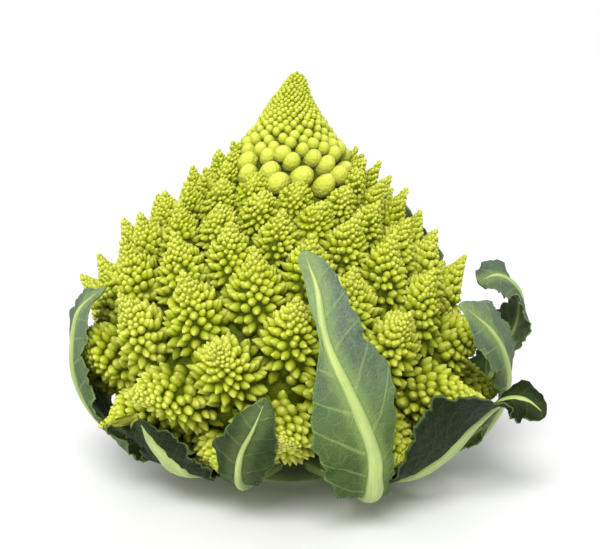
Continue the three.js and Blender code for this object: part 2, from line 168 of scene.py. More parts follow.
class Batch:
    """Points and triangles of one mesh as it grows, with named values on its points."""

    def __init__(self):
        self.points, self.triangles, self.values, self.count = [], [], {}, 0

    def add(self, points, triangles, **values):
        points = np.asarray(points, float).reshape(-1, 3)
        self.points.append(points)
        self.triangles.append(np.asarray(triangles).reshape(-1, 3) + self.count)
        self.count += len(points)
        for name, value in values.items():
            spread = np.broadcast_to(np.asarray(value, float).ravel(), len(points))
            self.values.setdefault(name, []).append(spread)

    def make(self, name, material, bend=None):
        """The mesh object, in metres."""
        points = np.concatenate(self.points)
        triangles = np.concatenate(self.triangles).astype(np.int32)
        if bend is not None:
            points = bend(points)
        mesh = bpy.data.meshes.new(name)
        mesh.vertices.add(len(points))
        mesh.vertices.foreach_set("co", (points * MM).astype(np.float32).ravel())
        mesh.loops.add(triangles.size)
        mesh.loops.foreach_set("vertex_index", triangles.ravel())
        mesh.polygons.add(len(triangles))
        starts = np.arange(0, triangles.size, 3, dtype=np.int32)
        mesh.polygons.foreach_set("loop_start", starts)
        mesh.polygons.foreach_set("use_smooth", np.ones(len(triangles), bool))
        for key, parts in self.values.items():
            layer = mesh.attributes.new(key, "FLOAT", "POINT")
            layer.data.foreach_set("value", np.concatenate(parts).astype(np.float32))
        mesh.update(calc_edges=True)
        mesh.validate()
        mesh.materials.append(material)
        piece = bpy.data.objects.new(name, mesh)
        bpy.context.scene.collection.objects.link(piece)
        return piece


def grid_triangles(rows, columns, closed=False):
    """Triangles over a grid of points in rows, facing cross(along a row, down the rows)."""
    last = columns if closed else columns - 1
    i, j = np.meshgrid(np.arange(rows - 1), np.arange(last), indexing="ij")
    a, b = i * columns + j, i * columns + (j + 1) % columns
    c, d = b + columns, a + columns
    return np.stack([np.stack([a, b, c], -1), np.stack([a, c, d], -1)], -2).reshape(-1, 3)


def skin_grid(first, last, rows, columns):
    """A closed skin's distances down and angles round, and its triangles, facing outwards."""
    down, turn = np.meshgrid(np.linspace(first, last, rows), turns(columns), indexing="ij")
    return down, turn, grid_triangles(rows, columns, closed=True)[:, ::-1]


def seat(piece, slot, *nodes):
    """Fastens a finished piece to the head in place of its CAD nodes."""
    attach(piece, "root")
    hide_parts(*nodes)


# ---- the curd's plan


HEAD_HEIGHT = 171.0
CORE_RADIUS = 66.0
LARGEST_FLORET = 31.0  # its spacing
FLORET_GROWTH = 0.23  # of spacing for each mm down from the apex
FIRST_SHOOT, LOWEST_FLORET = 6.0, 178.0  # mm along the core's outline
SPIRAL_START = 138 * DEGREE

CORE_OUTLINE = [
    (0, 1), (0.045, 0.985), (0.086, 0.955), (0.15, 0.912), (0.212, 0.866), (0.285, 0.815),
    (0.385, 0.76), (0.508, 0.7), (0.655, 0.63), (0.835, 0.55), (1, 0.455), (1.07, 0.355),
    (1.01, 0.255), (0.87, 0.18), (0.64, 0.148), (0.35, 0.142), (0, 0.142),
]
CORE = Outline([(r * CORE_RADIUS, z * HEAD_HEIGHT) for r, z in CORE_OUTLINE])

FLORET_RADIUS = 0.5  # of its spacing
FLORET_HEIGHT = 2.0  # the rest is in units of the floret's radius
FLORET_OUTLINE = [
    (0, 1), (0.13, 0.88), (0.28, 0.71), (0.47, 0.52), (0.67, 0.35), (0.84, 0.2), (0.96, 0.07),
    (1, 0),
]
FLORET = Outline(
    [(r, z * FLORET_HEIGHT) for r, z in FLORET_OUTLINE] + [(0.6, -0.3), (0, -0.4)]
)
FLORET_RIM = 2.2  # along the outline from the tip
BUDS_END, SKIN_END = 2.3, 2.75
BUDS_START = 0.95  # mm from the tip
TIP_RADIUS, TIP_HEIGHT = 1.05, 1.15  # the bud at a floret's very tip, in mm


def floret_spacing(along):
    """How far apart shoots stand on the head, by distance from its apex."""
    return soft_least(FLORET_GROWTH * along, LARGEST_FLORET, 6)


def lean_aside(z):
    """The head leans a little: its body to one side, its apex to the other."""
    body, neck = mix(-6, 0.5, smooth(108, 145, z)), 2.2 * smooth(158, HEAD_HEIGHT, z)
    return (body + neck) * smooth(25, 70, z)


BUD_PROFILES = {  # share of the way down, radius and height, in units of the bud's own
    "round": (
        [0, 0.15, 0.35, 0.55, 0.75, 0.9, 1],
        [0, 0.33, 0.69, 0.92, 1, 0.96, 0.85],
        [1, 0.945, 0.72, 0.38, 0, -0.28, -0.5],
    ),
    "pointed": (
        [0, 0.12, 0.3, 0.5, 0.7, 0.88, 1],
        [0, 0.2, 0.46, 0.74, 0.94, 1, 0.95],
        [1.34, 1.14, 0.84, 0.5, 0.14, -0.2, -0.5],
    ),
}


def dome(segments, rings):
    """A round and a pointed bud on the same triangles, each with its rise from root to tip."""
    down = np.arange(1, rings + 1) / rings
    turn = turns(segments) + (np.arange(rings) % 2)[:, None] * math.pi / segments
    shapes = []
    for shares, r, z in BUD_PROFILES.values():
        r_down, z_down = (np.interp(down, shares, line)[:, None] for line in (r, z))
        ring = around_z(r_down, turn, z_down).reshape(-1, 3)
        shapes.append(np.concatenate([[[0, 0, z[0]]], ring]))
    rise = np.concatenate([[1], np.repeat(1 - down, segments)])
    ring = np.arange(segments)
    cap = np.stack([ring * 0, 1 + ring, 1 + (ring + 1) % segments], -1)
    body = grid_triangles(rings, segments, closed=True)[:, ::-1] + 1
    return (*shapes, np.concatenate([cap, body]), rise)


BUDS = [  # largest radius, in mm, and the bud's mesh
    (1.05, dome(6, 2)), (1.4, dome(7, 3)), (2.0, dome(8, 4)),
    (2.6, dome(10, 5)), (99.0, dome(13, 6)),
]
BALLS = [(0.9, dome(6, 2)), (1.4, dome(8, 3)), (2.2, dome(10, 5)), (99.0, dome(20, 10))]


def add_buds(batch, centres, axes, radii, heights, points, tones, crests, meshes=BUDS):
    """Buds of every size at once: each a dome whose root is sunk in what it grows from."""
    helper = np.where(np.abs(axes[:, 2:]) < 0.9, [[0, 0, 1.0]], [[1.0, 0, 0]])
    aside = unit(np.cross(helper, axes))
    ahead = np.cross(axes, aside)
    smallest = 0.0
    for largest, (rounded, pointed, triangles, rise) in meshes:
        chosen = (radii >= smallest) & (radii < largest)
        smallest = largest
        n = int(chosen.sum())
        if not n:
            continue
        p, r, h = (part[chosen][:, None, None] for part in (points, radii, heights))
        root, u, v, w = (part[chosen][:, None] for part in (centres, aside, ahead, axes))
        shape = rounded * (1 - p) + pointed * p
        values = {"tone": tones, "crest": crests, "bud_size": radii}
        batch.add(
            root + shape[..., :1] * r * u + shape[..., 1:2] * r * v + shape[..., 2:] * h * w,
            triangles + (np.arange(n) * len(rise))[:, None, None],
            rise=np.tile(rise, n),
            **{key: np.repeat(value[chosen], len(rise)) for key, value in values.items()},
        )


def bud_spacing(radius):
    """A floret's own spacing law, in units of its radius."""
    least, most = 1.7 / radius, 0.37
    return lambda along: soft_least(soft_least(0.22 * along, most, 4), least, -4)


class Floret:
    """One floret: its seat on the head, its axis, and the patch that its neighbours leave it."""

    NEIGHBOURS = 2.4  # within how many of its spacings they are looked for
    REACH = 0.78  # of its spacing, where no neighbour stands

    def __init__(self, seed, shoots):
        along, turn, spacing = shoots[seed]
        r, z, facing = (float(v) for v in CORE.at(along))
        self.spacing = spacing
        limit = ball_limit(turn)
        self.ripe = float(smooth(limit * 0.95, limit * 1.5, spacing))
        self.axis = direction_of(
            lean_of(facing) + draw(seed, 1) * 5 * DEGREE, turn + draw(seed, 2) * 3 * DEGREE
        )
        self.root = around_z(r, turn, z)
        self.across = direction_of(facing + math.pi / 2, turn)
        self.aside = np.array([-math.sin(turn), math.cos(turn), 0])
        stunted = mix(1, 1.15, smooth(85 * DEGREE, 105 * DEGREE, facing))
        stunted *= mix(1, 0.7, smooth(125 * DEGREE, 165 * DEGREE, facing))
        self.height = FLORET_RADIUS * spacing * stunted * (1 + 0.13 * draw(seed, 3))
        others = np.delete(shoots, seed, 0)
        near = others[np.abs(others[:, 0] - along) < self.NEIGHBOURS * spacing]
        r, z, _ = CORE.at(near[:, 0])
        offsets = around_z(r, near[:, 1], z) - self.root
        close = np.linalg.norm(offsets, axis=1) < self.NEIGHBOURS * spacing
        offsets, sizes = offsets[close], near[close, 2]
        flat = np.stack([offsets @ self.across, offsets @ self.aside], -1)
        length = np.linalg.norm(flat, axis=1)
        self.edges = length * spacing / (spacing + sizes)
        self.bearings = flat / length[:, None]
        self.radius = float(self.reach(turns(72)).mean())

    def reach(self, angle):
        """How far the patch reaches at an angle round the axis."""
        heading = np.stack([np.cos(angle), np.sin(angle)], -1)
        facing = np.maximum(heading @ self.bearings.T, 0.05)
        most = self.spacing * self.REACH
        bound = np.minimum(self.edges / facing, most)
        return ((bound**-8.0).sum(-1) + most**-8.0) ** (-1 / 8)

    def around(self, angle):
        angle = angle[..., None]
        return np.cos(angle) * self.across + np.sin(angle) * self.aside

    def place(self, distances, angles):
        """Points on the floret's own skin, and how far the skin faces from the axis there."""
        ball = distances / FLORET_RIM * 100 * DEGREE
        young = np.sin(ball), 0.3 + 1.05 * np.cos(ball), ball
        r, z, face = (mix(a, b, self.ripe) for a, b in zip(young, FLORET.at(distances)))
        wide = mix(self.radius, self.reach(angles), smooth(0.15, 0.95, r))
        spots = self.root + self.around(angles) * (r * wide)[..., None]
        return spots + self.axis * (z * self.height)[..., None], face


def add_floret(batch, seed, shoots):
    """A slim core under a spiral of buds that grow from the floret's tip down."""
    floret = Floret(seed, shoots)
    radius = floret.radius
    buds = spiral(FLORET, bud_spacing(radius), BUDS_START / radius, BUDS_END)
    distances, angles, spacings = buds.T
    index = np.arange(len(buds)) + seed * 311
    angles = angles + draw(seed, 4) * math.pi + draw(index, 6) * 0.13
    distances = distances + draw(index, 5) * spacings * 0.17
    sizes = spacings * radius
    spots, face = floret.place(distances, angles)
    lower = smooth(0.3, 1.7, distances)
    lean = face * mix(1, mix(0.42, 0.85, lower), floret.ripe)
    lean = lean + draw(index, 12) * 0.18
    sideways, along = np.sin(lean)[:, None], np.cos(lean)[:, None]
    axes = unit(floret.around(angles) * sideways + floret.axis * along)
    radii = sizes * mix(0.6, 0.57, lower) * (1 + 0.16 * draw(index, 7))
    tip, _ = floret.place(np.zeros(1), np.zeros(1))
    sunk = mix(0.42, 0.03, floret.ripe)
    add_buds(
        batch,
        np.concatenate([spots - axes * (radii * sunk)[:, None], tip - floret.axis * 1.1]),
        np.concatenate([axes, floret.axis[None]]),
        np.append(radii, TIP_RADIUS),
        np.append(sizes * mix(0.6, 0.86, lower), TIP_HEIGHT),
        np.append(mix(0.1, 0.85, lower) * floret.ripe, 0),
        np.append(draw(index, 8) * 0.5 + draw(seed, 9) * 0.6, 0),
        np.append(1 - distances / FLORET_RIM, 1),
    )
    down, turn, faces = skin_grid(0.06, SKIN_END, 11, 22)
    batch.add(
        floret.place(down, turn)[0] - floret.axis * 0.6,
        faces,
        # the skin's rise sets its painted crevice shade: more of it lower down
        rise=mix(0.4, 0, smooth(0.1, 1.4, down)),
        tone=0,
        crest=1 - down / FLORET_RIM,
        bud_size=mix(1, 3, smooth(0.3, 1.2, down)),
    )


CROWN_EDGE = 13.1  # mm between shoots where the crown's finer growth ends
CROWN_STEEPNESS = 1.75
CROWN_LEAST = 1.75  # mm between shoots at the apex


def head_shoots():
    """Every shoot on the head, apex first: the crown's close ones, then the florets."""
    grown = spiral(CORE, floret_spacing, FIRST_SHOOT, LOWEST_FLORET, SPIRAL_START)
    first = int(np.argmax(grown[:, 2] > CROWN_EDGE))
    edge, turn, spacing = grown[first]
    along, crown = edge, []
    while True:
        wanted = spacing * (along / edge) ** CROWN_STEEPNESS
        wanted = soft_least(wanted, CROWN_LEAST, -4)
        along -= step_down(CORE, along, wanted)
        turn += GOLDEN_ANGLE
        if along < 1.6:
            break
        crown.append((along, turn, wanted))
    return np.concatenate([[(0.0, 0.0, 1.3)], crown[::-1], grown[first:]])


def ball_limit(turn):
    """The spacing up to which a shoot is still a plain ball: more towards the crown's front."""
    return mix(6.0, 13.2, smooth(-0.1, 0.8, np.cos(turn + 78 * DEGREE)))


def add_crown(batch, shoots):
    """The bare balls round the apex, and the core that shows between all the shoots."""
    along, turn, spacing = shoots.T
    index = np.arange(len(shoots))
    along = along + spacing * 0.16 * draw(index, 15)
    r, z, facing = CORE.at(along)
    turn = turn + 0.14 * spacing / np.maximum(r, 2) * draw(index, 16)
    axes = direction_of(lean_of(facing) * 1.5, turn)
    lift = spacing * 0.12 * (1 + draw(index, 17))
    radii = spacing * mix(0.55, 0.41, smooth(7, 12.5, spacing)) * (1 + 0.13 * draw(index, 10))
    add_buds(
        batch,
        around_z(r, turn, z) + axes * lift[:, None],
        axes,
        radii,
        spacing * mix(0.6, 0.43, smooth(7, 12.5, spacing)) * (1 + 0.08 * draw(index, 14)),
        0.05 + 0.2 * smooth(7.5, 12, spacing),
        draw(index, 11),
        smooth(0, 60, along) * 0.3 + 0.6,
        BALLS,
    )
    down, turn, faces = skin_grid(0.4, CORE.length - 0.5, 70, 60)
    r, z, _ = CORE.at(down)
    grain = mix(1, 3, smooth(15, 45, down))
    # the core showing between the balls is painted with crevice shade all over
    batch.add(around_z(r, turn, z), faces, rise=0, tone=0, crest=0.3, bud_size=grain)


# ---- the leaves' plan: midrib azimuth, radius, height, and width to either side


LEAVES = {  # how dark it is drawn (partly its own green, partly painted shade on leaves that sit in shade), its rib's share of the usual width, the tip's twist
    "leaf_front": (0.05, 1, 0, [
        (-60, 18, 10), (-61, 42, 10), (-63, 61, 11.5, 7, 7), (-66, 77, 14, 10, 7),
        (-69, 89, 24, 16, 7), (-71, 95, 38, 20, 9), (-76, 96, 59, 17, 17),
        (-81.5, 92, 80, 3, 14.5), (-83, 83, 98, 4, 10), (-86, 74, 111, 3, 3),
    ]),
    "leaf_front_small": (0.7, 0.5, 0, [
        (-112, 18, 10), (-110.5, 42, 11), (-108, 60, 14, 7, 7), (-105, 76, 23, 7, 9),
        (-102, 86, 36, 11, 13), (-98, 93, 48, 8, 9), (-95, 94, 60, 2, 2),
    ]),
    "leaf_front_left": (1, 2.35, 0, [
        (-139, 18, 19.5), (-136, 40, 18), (-133, 55, 15.5, 16, 13), (-131, 67, 17, 22, 17),
        (-132, 73.5, 23.5, 20, 18), (-134, 79, 32, 20, 15), (-136, 82, 40, 4, 4),
    ]),
    "leaf_left": (0.1, 1, 0, [
        (176, 18, 10), (177, 41, 9.5), (180, 59, 11, 18, 18), (185, 73, 18, 28, 26),
        (190, 84.5, 31, 34, 31), (194, 91.5, 48, 34, 25), (197, 92.5, 64, 24, 20),
        (200, 90, 78, 12, 14), (204, 81, 88, 3, 3),
    ]),
    "leaf_left_back": (0.2, 1, 0, [
        (150, 18, 19.5), (150, 41, 17), (150, 58, 16, 12, 10), (150, 73, 21, 20, 16),
        (150, 84, 34, 24, 18), (149, 88, 54, 22, 17), (148, 86, 74, 12, 12), (147, 80, 88, 2, 2),
    ]),
    "leaf_back_left": (0.2, 1, 0, [
        (122, 18, 10), (122, 42, 9.5), (123, 62, 11, 12, 12), (124, 79, 18, 22, 18),
        (125, 90, 32, 26, 18), (126, 94, 52, 25, 18), (127, 93, 72, 20, 16), (128, 85, 94, 12, 12),
        (128, 74, 111, 2, 2),
    ]),
    "leaf_back": (0.2, 1, 0, [
        (88, 18, 19.5), (88, 41, 17), (88, 58, 16, 12, 12), (89, 74, 21, 20, 18),
        (90, 84, 34, 24, 22), (91, 88, 54, 24, 22), (92, 87, 72, 20, 18), (92, 81, 88, 11, 11),
        (92, 76, 98, 2, 2),
    ]),
    "leaf_back_right": (0.2, 1, 0, [
        (52, 18, 10), (52, 42, 9.5), (51, 62, 11, 12, 12), (51, 79, 18, 20, 20),
        (50, 90, 32, 22, 24), (50, 94, 52, 22, 22), (49, 93, 72, 17, 17), (49, 85, 92, 12, 12),
        (48, 75, 109, 2, 2),
    ]),
    "leaf_right_hooked": (0.2, 1, 18, [
        (20, 18, 19.5), (18, 41, 17), (15, 59, 15.5, 10, 12), (12, 76, 21, 13, 18),
        (10, 88, 34, 14, 22), (9, 96, 50, 15, 22), (8, 101, 64, 18, 20), (8, 99.5, 76, 17, 18),
        (8, 91, 82.5, 15, 15), (8, 82, 80, 8, 8),
    ]),
    "leaf_right": (0, 1, 0, [
        (-4, 18, 10), (-5, 42, 9.5), (-7, 61, 11, 9, 9), (-10, 78, 18, 13, 15),
        (-13, 88, 31, 13, 19), (-17, 93, 46, 11, 21), (-23, 93, 61, 13, 18), (-30, 90, 74, 12, 12),
        (-39, 85, 85.5, 2, 3),
    ]),
    "leaf_right_low": (1, 1.4, -22, [
        (-50, 18, 19.5), (-50, 40, 17), (-49, 57, 14.5, 12, 8), (-46, 71, 16, 22, 8),
        (-40, 81, 24, 41, 8), (-34, 88, 35, 35, 8), (-29, 96, 44, 24, 7.5), (-27, 105, 45, 12, 10),
        (-26, 113, 39, 6, 5),
    ]),
}
BLADE_FROM = 2
POINT_SPACING = 15.5  # mm of midrib from one point of a leaf to the next, near enough
STALK_HALF_WIDTH = 6.5
RIB_DEPTH = 6.0
VEIN_SPACING = 11.0
VEIN_SWEEP, VEIN_CURVE = 0.62, 0.008  # how far a side vein runs up as it runs out
VEIN_STAGGER = 0.25  # of the spacing, from one side of the rib to the other
PRESS_MARGIN = 9.0  # mm past a blade's margin where florets still give way


def vein_lines(along, across):
    """How near a point is to a side vein, from 0 to 1; the veins curve up to the margin."""
    reach = np.abs(across)
    run = along - VEIN_SWEEP * reach - VEIN_CURVE * reach**2
    place = run / VEIN_SPACING + VEIN_STAGGER * np.sign(across)
    off = np.abs(place - np.round(place)) * VEIN_SPACING
    return 1 - smooth(0.2, 1.9, off)


class Leaf:
    """One leaf: its midrib, the blade that cups the head and the rib on its outer face."""

    def __init__(self, seed, shade, rib_size, twist, points):
        self.seed, self.shade, self.rib_size, self.twist = seed, shade, rib_size, twist * DEGREE
        self.last = len(points) - 1
        table = np.array([tuple(p) + (0,) * (5 - len(p)) for p in points], float)
        self.columns = table.T

    def midrib(self, place):
        azimuth, r, z = (through(column, place) for column in self.columns[:3])
        return around_z(r, azimuth * DEGREE, z)

    def half_width(self, place, side):
        """The blade's width from its midrib towards the side that a sign gives."""
        before, after = (np.maximum(through(self.columns[k], place), 1.5) for k in (3, 4))
        return np.where(side < 0, before, after)

    def surface(self, place, across):
        """The blade's middle surface, `across` mm from the midrib."""
        place, across = np.broadcast_arrays(np.asarray(place, float), np.asarray(across, float))
        low, high = np.maximum(place - 0.01, 0), place + 0.01
        azimuth, r = (through(column, place) for column in self.columns[:2])
        reach, rise = (through(c, high) - through(c, low) for c in self.columns[1:3])
        radial = direction_of(math.pi / 2, azimuth * DEGREE)
        tangent = unit(self.midrib(high) - self.midrib(low))
        up = np.array([0, 0, 1.0])
        outward = unit(radial * rise[..., None] - up * reach[..., None])
        cup = np.maximum((outward * radial).sum(-1) / r, 1e-4)
        outward = unit(outward - tangent * (outward * tangent).sum(-1, keepdims=True))
        aside = np.cross(tangent, outward)
        turned = (self.twist * smooth(self.last - 3, self.last - 0.8, place))[..., None]
        aside, outward = (
            aside * np.cos(turned) + outward * np.sin(turned),
            outward * np.cos(turned) - aside * np.sin(turned),
        )
        share = np.minimum(np.abs(across) / self.half_width(place, across), 1)
        waved = bpy.context.scene.romanesco_leaf.margin_wave / MM * share**2
        waved = waved * smooth(BLADE_FROM, BLADE_FROM + 1, place)
        wave = waved * np.sin(4.2 * place + 3.7 * self.seed + 2.2 * np.sign(across))
        sunk = (np.cos(cup * across) - 1) / cup + wave
        return (
            self.midrib(place)
            + aside * (np.sin(cup * across) / cup)[..., None]
            + outward * sunk[..., None]
        )

    def normal(self, place, across):
        low, high = np.maximum(place - 0.02, 0), place + 0.02
        along = self.surface(high, across) - self.surface(low, across)
        aside = self.surface(place, across + 0.2) - self.surface(place, across - 0.2)
        return unit(np.cross(aside, along))

    def rib_half_width(self, place):
        stout = mix(1, self.rib_size, smooth(BLADE_FROM - 1.5, BLADE_FROM, place))
        share = np.maximum(place, 0) / self.last
        stalk, rib = mix(STALK_HALF_WIDTH, 1, share**0.5), mix(STALK_HALF_WIDTH, 0.6, share**0.8)
        return stout * mix(stalk, rib, smooth(1.2, 2.2, place))

    def blade(self):
        """A closed blade, thin at its ruffled margin, with its veins raised on the outer face."""
        settings = bpy.context.scene.romanesco_leaf
        rows, columns = 84, 36
        first = BLADE_FROM - 0.9
        place = np.linspace(first, self.last, rows)[:, None]
        share = np.linspace(-1, 1, columns + 1)[None]
        share = np.sign(share) * np.abs(share) ** 0.9
        wing = smooth(first - 0.3, BLADE_FROM + 0.5, place)
        tip = np.sqrt(np.clip(1 - ((place - self.last + 0.4) / 0.41).clip(0) ** 2, 0.02, 1))
        lobed = (
            1
            + 0.05 * np.sin(6.1 * place + 2.9 * self.seed + np.sign(share))
            + 0.035 * np.sin(15.7 * place + 1.3 * self.seed - 2 * np.sign(share))
        )
        narrow = self.rib_half_width(place) * 0.8
        width = self.half_width(place, share)
        across = share * mix(np.minimum(narrow, width), width * lobed, wing) * tip
        place, edge, _ = np.broadcast_arrays(place, np.abs(share), across)
        along = (place - BLADE_FROM) * POINT_SPACING
        veins = vein_lines(along, across) * smooth(1, 4, np.abs(across)) * (1 - 0.6 * edge)
        ruffle = 0.9 * edge**4 * np.sin(along * 0.62 + 5 * self.seed + 2 * np.sign(across))
        ruffle += 0.5 * edge**6 * np.sin(along * 1.7 + 3 * self.seed)
        blister = 0.35 * np.sin(along * 0.9 + self.seed) * np.sin(across * 0.8 + along * 0.3)
        blister *= (1 - veins) * smooth(0, 0.3, edge) * wing
        middle = self.surface(place, across)
        normal = self.normal(place, across)
        relief = settings.vein_relief / MM
        half = settings.thickness / MM / 2 * mix(1, 0.45, smooth(0.75, 1, edge))
        lift = (ruffle * smooth(0, 20, width) + blister)[..., None]
        outer = middle + normal * (lift + (half + relief * veins)[..., None])
        inner = middle + normal * (lift - (half + 0.3 * relief * veins)[..., None])
        n = rows * (columns + 1)
        index = np.arange(n).reshape(rows, columns + 1)
        rim = np.concatenate([index[0], index[1:, -1], index[-1, -2::-1], index[-2:0:-1, 0]])
        after = np.roll(rim, -1)
        faces = grid_triangles(rows, columns + 1)
        band = (np.stack([rim, rim + n, after + n], -1), np.stack([rim, after + n, after], -1))
        batch = Batch()
        batch.add(
            np.concatenate([outer.reshape(-1, 3), inner.reshape(-1, 3)]),
            np.concatenate([faces, faces[:, ::-1] + n, *band]),
            inside=np.repeat([0.0, 1.0], n),
            leaf_along=np.stack([along, along]),
            leaf_across=np.stack([across, across]),
            leaf_edge=np.stack([edge, edge]),
            # the leaf's darkness: partly its own deeper green, partly painted shade
            leaf_tone=self.shade,
        )
        return batch

    def rib(self):
        """The rib on the blade's outer face, which runs on as the stalk into the stem."""
        settings = bpy.context.scene.romanesco_leaf
        rows, columns = 80, 12
        place = np.linspace(0.12, self.last - 0.25, rows)[:, None]
        angle = turns(columns)[None]
        on_blade = smooth(BLADE_FROM - 0.4, BLADE_FROM + 0.4, place)
        room = np.maximum(self.half_width(place, np.cos(angle)) - 0.8, 0.7)
        wanted = self.rib_half_width(place)
        half = mix(wanted, np.minimum(wanted, room), on_blade)
        half = half * (1 + 0.03 * np.sin(place * 7 + self.seed))
        taper = mix(1, 0.35, smooth(self.last - 1.2, self.last - 0.25, place))
        depth = mix(RIB_DEPTH, 1, np.sqrt(place / self.last)) * taper
        across = np.cos(angle) * half * taper
        bulge = np.sin(angle)
        rounded = np.where(bulge > 0, np.abs(bulge) ** 0.8 * depth, bulge * 1.1)
        off = settings.thickness / MM / 2 * 0.4 + rounded
        place, _ = np.broadcast_arrays(place, across)
        points = self.surface(place, across) + self.normal(place, across) * off[..., None]
        n = rows * columns
        ring = np.arange(columns)
        after, last = np.roll(ring, -1), n - columns
        start = np.stack([ring, after, ring * 0 + n], -1)
        finish = np.stack([after + last, ring + last, ring * 0 + n + 1], -1)
        sides = grid_triangles(rows, columns, closed=True)[:, ::-1]
        ends = [points[0].mean(0), points[-1].mean(0)]
        batch = Batch()
        batch.add(
            np.concatenate([points.reshape(-1, 3), ends]),
            np.concatenate([sides, start, finish]),
            leaf_along=np.append((place - BLADE_FROM) * POINT_SPACING, [0, 0]),
            leaf_across=np.append(across / half * 3, [0, 0]),
        )
        return batch

    def pressing(self):
        """The blade's middle surface, a little wider, for pressing the florets in."""
        rows, columns = 44, 15
        place = np.linspace(BLADE_FROM - 0.3, self.last + 0.25, rows)[:, None]
        share = np.linspace(-1, 1, columns)[None]
        across = share * (self.half_width(place, share) + PRESS_MARGIN)
        return self.surface(place, across).reshape(-1, 3), grid_triangles(rows, columns)


def leaves():
    """Every leaf by name, from the table above."""
    return {name: Leaf(seed, *row) for seed, (name, row) in enumerate(LEAVES.items())}


class Press:
    """Leaves press the florets under them in towards the head's middle."""

    MIDDLE = np.array([0, 0, 60.0])
    CLEARANCE = 0.8
    GIVE = 5.0  # mm over which florets give way before they meet the leaf
    FROM_RADIUS, UP_TO = 45, 120  # only what stands out and low can meet a leaf

    def __init__(self):
        wall = Batch()
        for leaf in leaves().values():
            wall.add(*leaf.pressing())
        self.tree = BVHTree.FromPolygons(
            np.concatenate(wall.points).tolist(), np.concatenate(wall.triangles).tolist()
        )

    def __call__(self, points):
        points = points.copy()
        points[:, 0] += lean_aside(points[:, 2])
        middle = Vector(self.MIDDLE)
        reach = points - self.MIDDLE
        length = np.linalg.norm(reach, axis=1)
        out = np.hypot(points[:, 0], points[:, 1])
        near = (out > self.FROM_RADIUS) & (points[:, 2] < self.UP_TO)
        for i in np.flatnonzero(near):
            _, _, _, distance = self.tree.ray_cast(middle, Vector(reach[i]), length[i] + 6)
            if distance is None:
                continue
            free = distance - self.CLEARANCE - self.GIVE
            if free < length[i]:
                given = self.GIVE * (1 - math.exp((free - length[i]) / self.GIVE))
                points[i] = self.MIDDLE + reach[i] * ((free + given) / length[i])
        return points


# ---- materials


class Nodes:
    """Places and links shader nodes in one tree."""

    def __init__(self, tree):
        self.tree = tree
        self.tree.nodes.clear()

    def feed(self, socket, value):
        """Links a socket to another node's, or sets its own value."""
        if isinstance(value, bpy.types.NodeSocket):
            self.tree.links.new(value, socket)
        else:
            socket.default_value = (*value[:3], 1) if socket.type == "RGBA" else value

    def node(self, kind, settings=None, **inputs):
        made = self.tree.nodes.new(kind)
        for key, value in (settings or {}).items():
            setattr(made, key, value)
        for key, value in inputs.items():
            self.feed(made.inputs[key.replace("_", " ")], value)
        return made

    def in_order(self, kind, settings, *values):
        """The first output of a node whose sockets are fed one after another."""
        made = self.node(kind, settings)
        for socket, value in zip(made.inputs, values):
            self.feed(socket, value)
        return made.outputs[0]

    def math(self, operation, a, b=0.0, c=0.0, clamp=False):
        settings = {"operation": operation, "use_clamp": clamp}
        return self.in_order("ShaderNodeMath", settings, a, b, c)

    def times(self, a, b, plus=0.0, clamp=False):
        return self.math("MULTIPLY_ADD", a, b, plus, clamp)

    def ramp(self, value, low, high, to_low=0.0, to_high=1.0):
        settings = {"interpolation_type": "SMOOTHSTEP"}
        return self.in_order("ShaderNodeMapRange", settings, value, low, high, to_low, to_high)

    def layered(self, colour, *layers):
        """A colour with others laid over it in turn, each by its own share."""
        for share, over in layers:
            made = self.node("ShaderNodeMix", {"data_type": "RGBA"})
            for socket, value in zip((0, 6, 7), (share, colour, over)):
                self.feed(made.inputs[socket], value)
            colour = made.outputs[2]
        return colour

    def attributes(self, *names):
        """Values that the mesh carries on its points."""
        for name in names:
            yield self.node("ShaderNodeAttribute", {"attribute_name": name}).outputs["Fac"]

    def place(self):
        return self.node("ShaderNodeTexCoord").outputs["Object"]

    def height(self):
        return self.node("ShaderNodeSeparateXYZ", Vector=self.place()).outputs["Z"]

    def noise(self, scale, detail, where=None):
        where = where or self.place()
        made = self.node("ShaderNodeTexNoise", Vector=where, Scale=scale, Detail=detail)
        return made.outputs[0]

    def cells(self, scale, where=None, feature="F1"):
        where = where or self.place()
        made = self.node("ShaderNodeTexVoronoi", {"feature": feature}, Vector=where, Scale=scale)
        return made.outputs["Distance"]

    def effect(self, name, **inputs):
        """Places a shared effect, which is built as a node group when it is first asked for."""
        if name not in bpy.data.node_groups:
            build_effect(name)
        tree = bpy.data.node_groups[name]
        return self.node("ShaderNodeGroup", {"node_tree": tree}, **inputs).outputs

    def shader(self, height, bump, scatter=(), **inputs):
        """The surface, with its height, its bump's strength and depth, and what scatters in it."""
        strength, depth = bump
        relief = self.node("ShaderNodeBump", Strength=strength, Distance=depth, Height=height)
        scattering = zip(("Subsurface_Weight", "Subsurface_Radius", "Subsurface_Scale"), scatter)
        inputs.update(scattering, Normal=relief.outputs[0])
        made = self.node("ShaderNodeBsdfPrincipled", **inputs)
        self.node("ShaderNodeOutputMaterial", Surface=made.outputs[0])


def mottling(nodes, source):
    """Slow patches of lighter and darker growth, and fine speckles, both from 0 to 1."""
    patches = nodes.noise(nodes.math("DIVIDE", 1000.0, source["Patch Size"]), 3.0)
    speckles = nodes.noise(nodes.math("DIVIDE", 1000.0, source["Speckle Size"]), 2.0)
    return nodes.ramp(patches, 0.35, 0.65), nodes.ramp(speckles, 0.3, 0.7)


def skin_grain(nodes, source):
    """Height of a plant's skin: fine cells with softer swellings under them."""
    scale = nodes.math("DIVIDE", 1000.0, source["Cell Size"])
    swelling = nodes.noise(nodes.times(scale, 0.22), 2.0)
    domes = nodes.math("SUBTRACT", 1.0, nodes.cells(scale))
    return (nodes.times(swelling, source["Swelling"], plus=domes),)


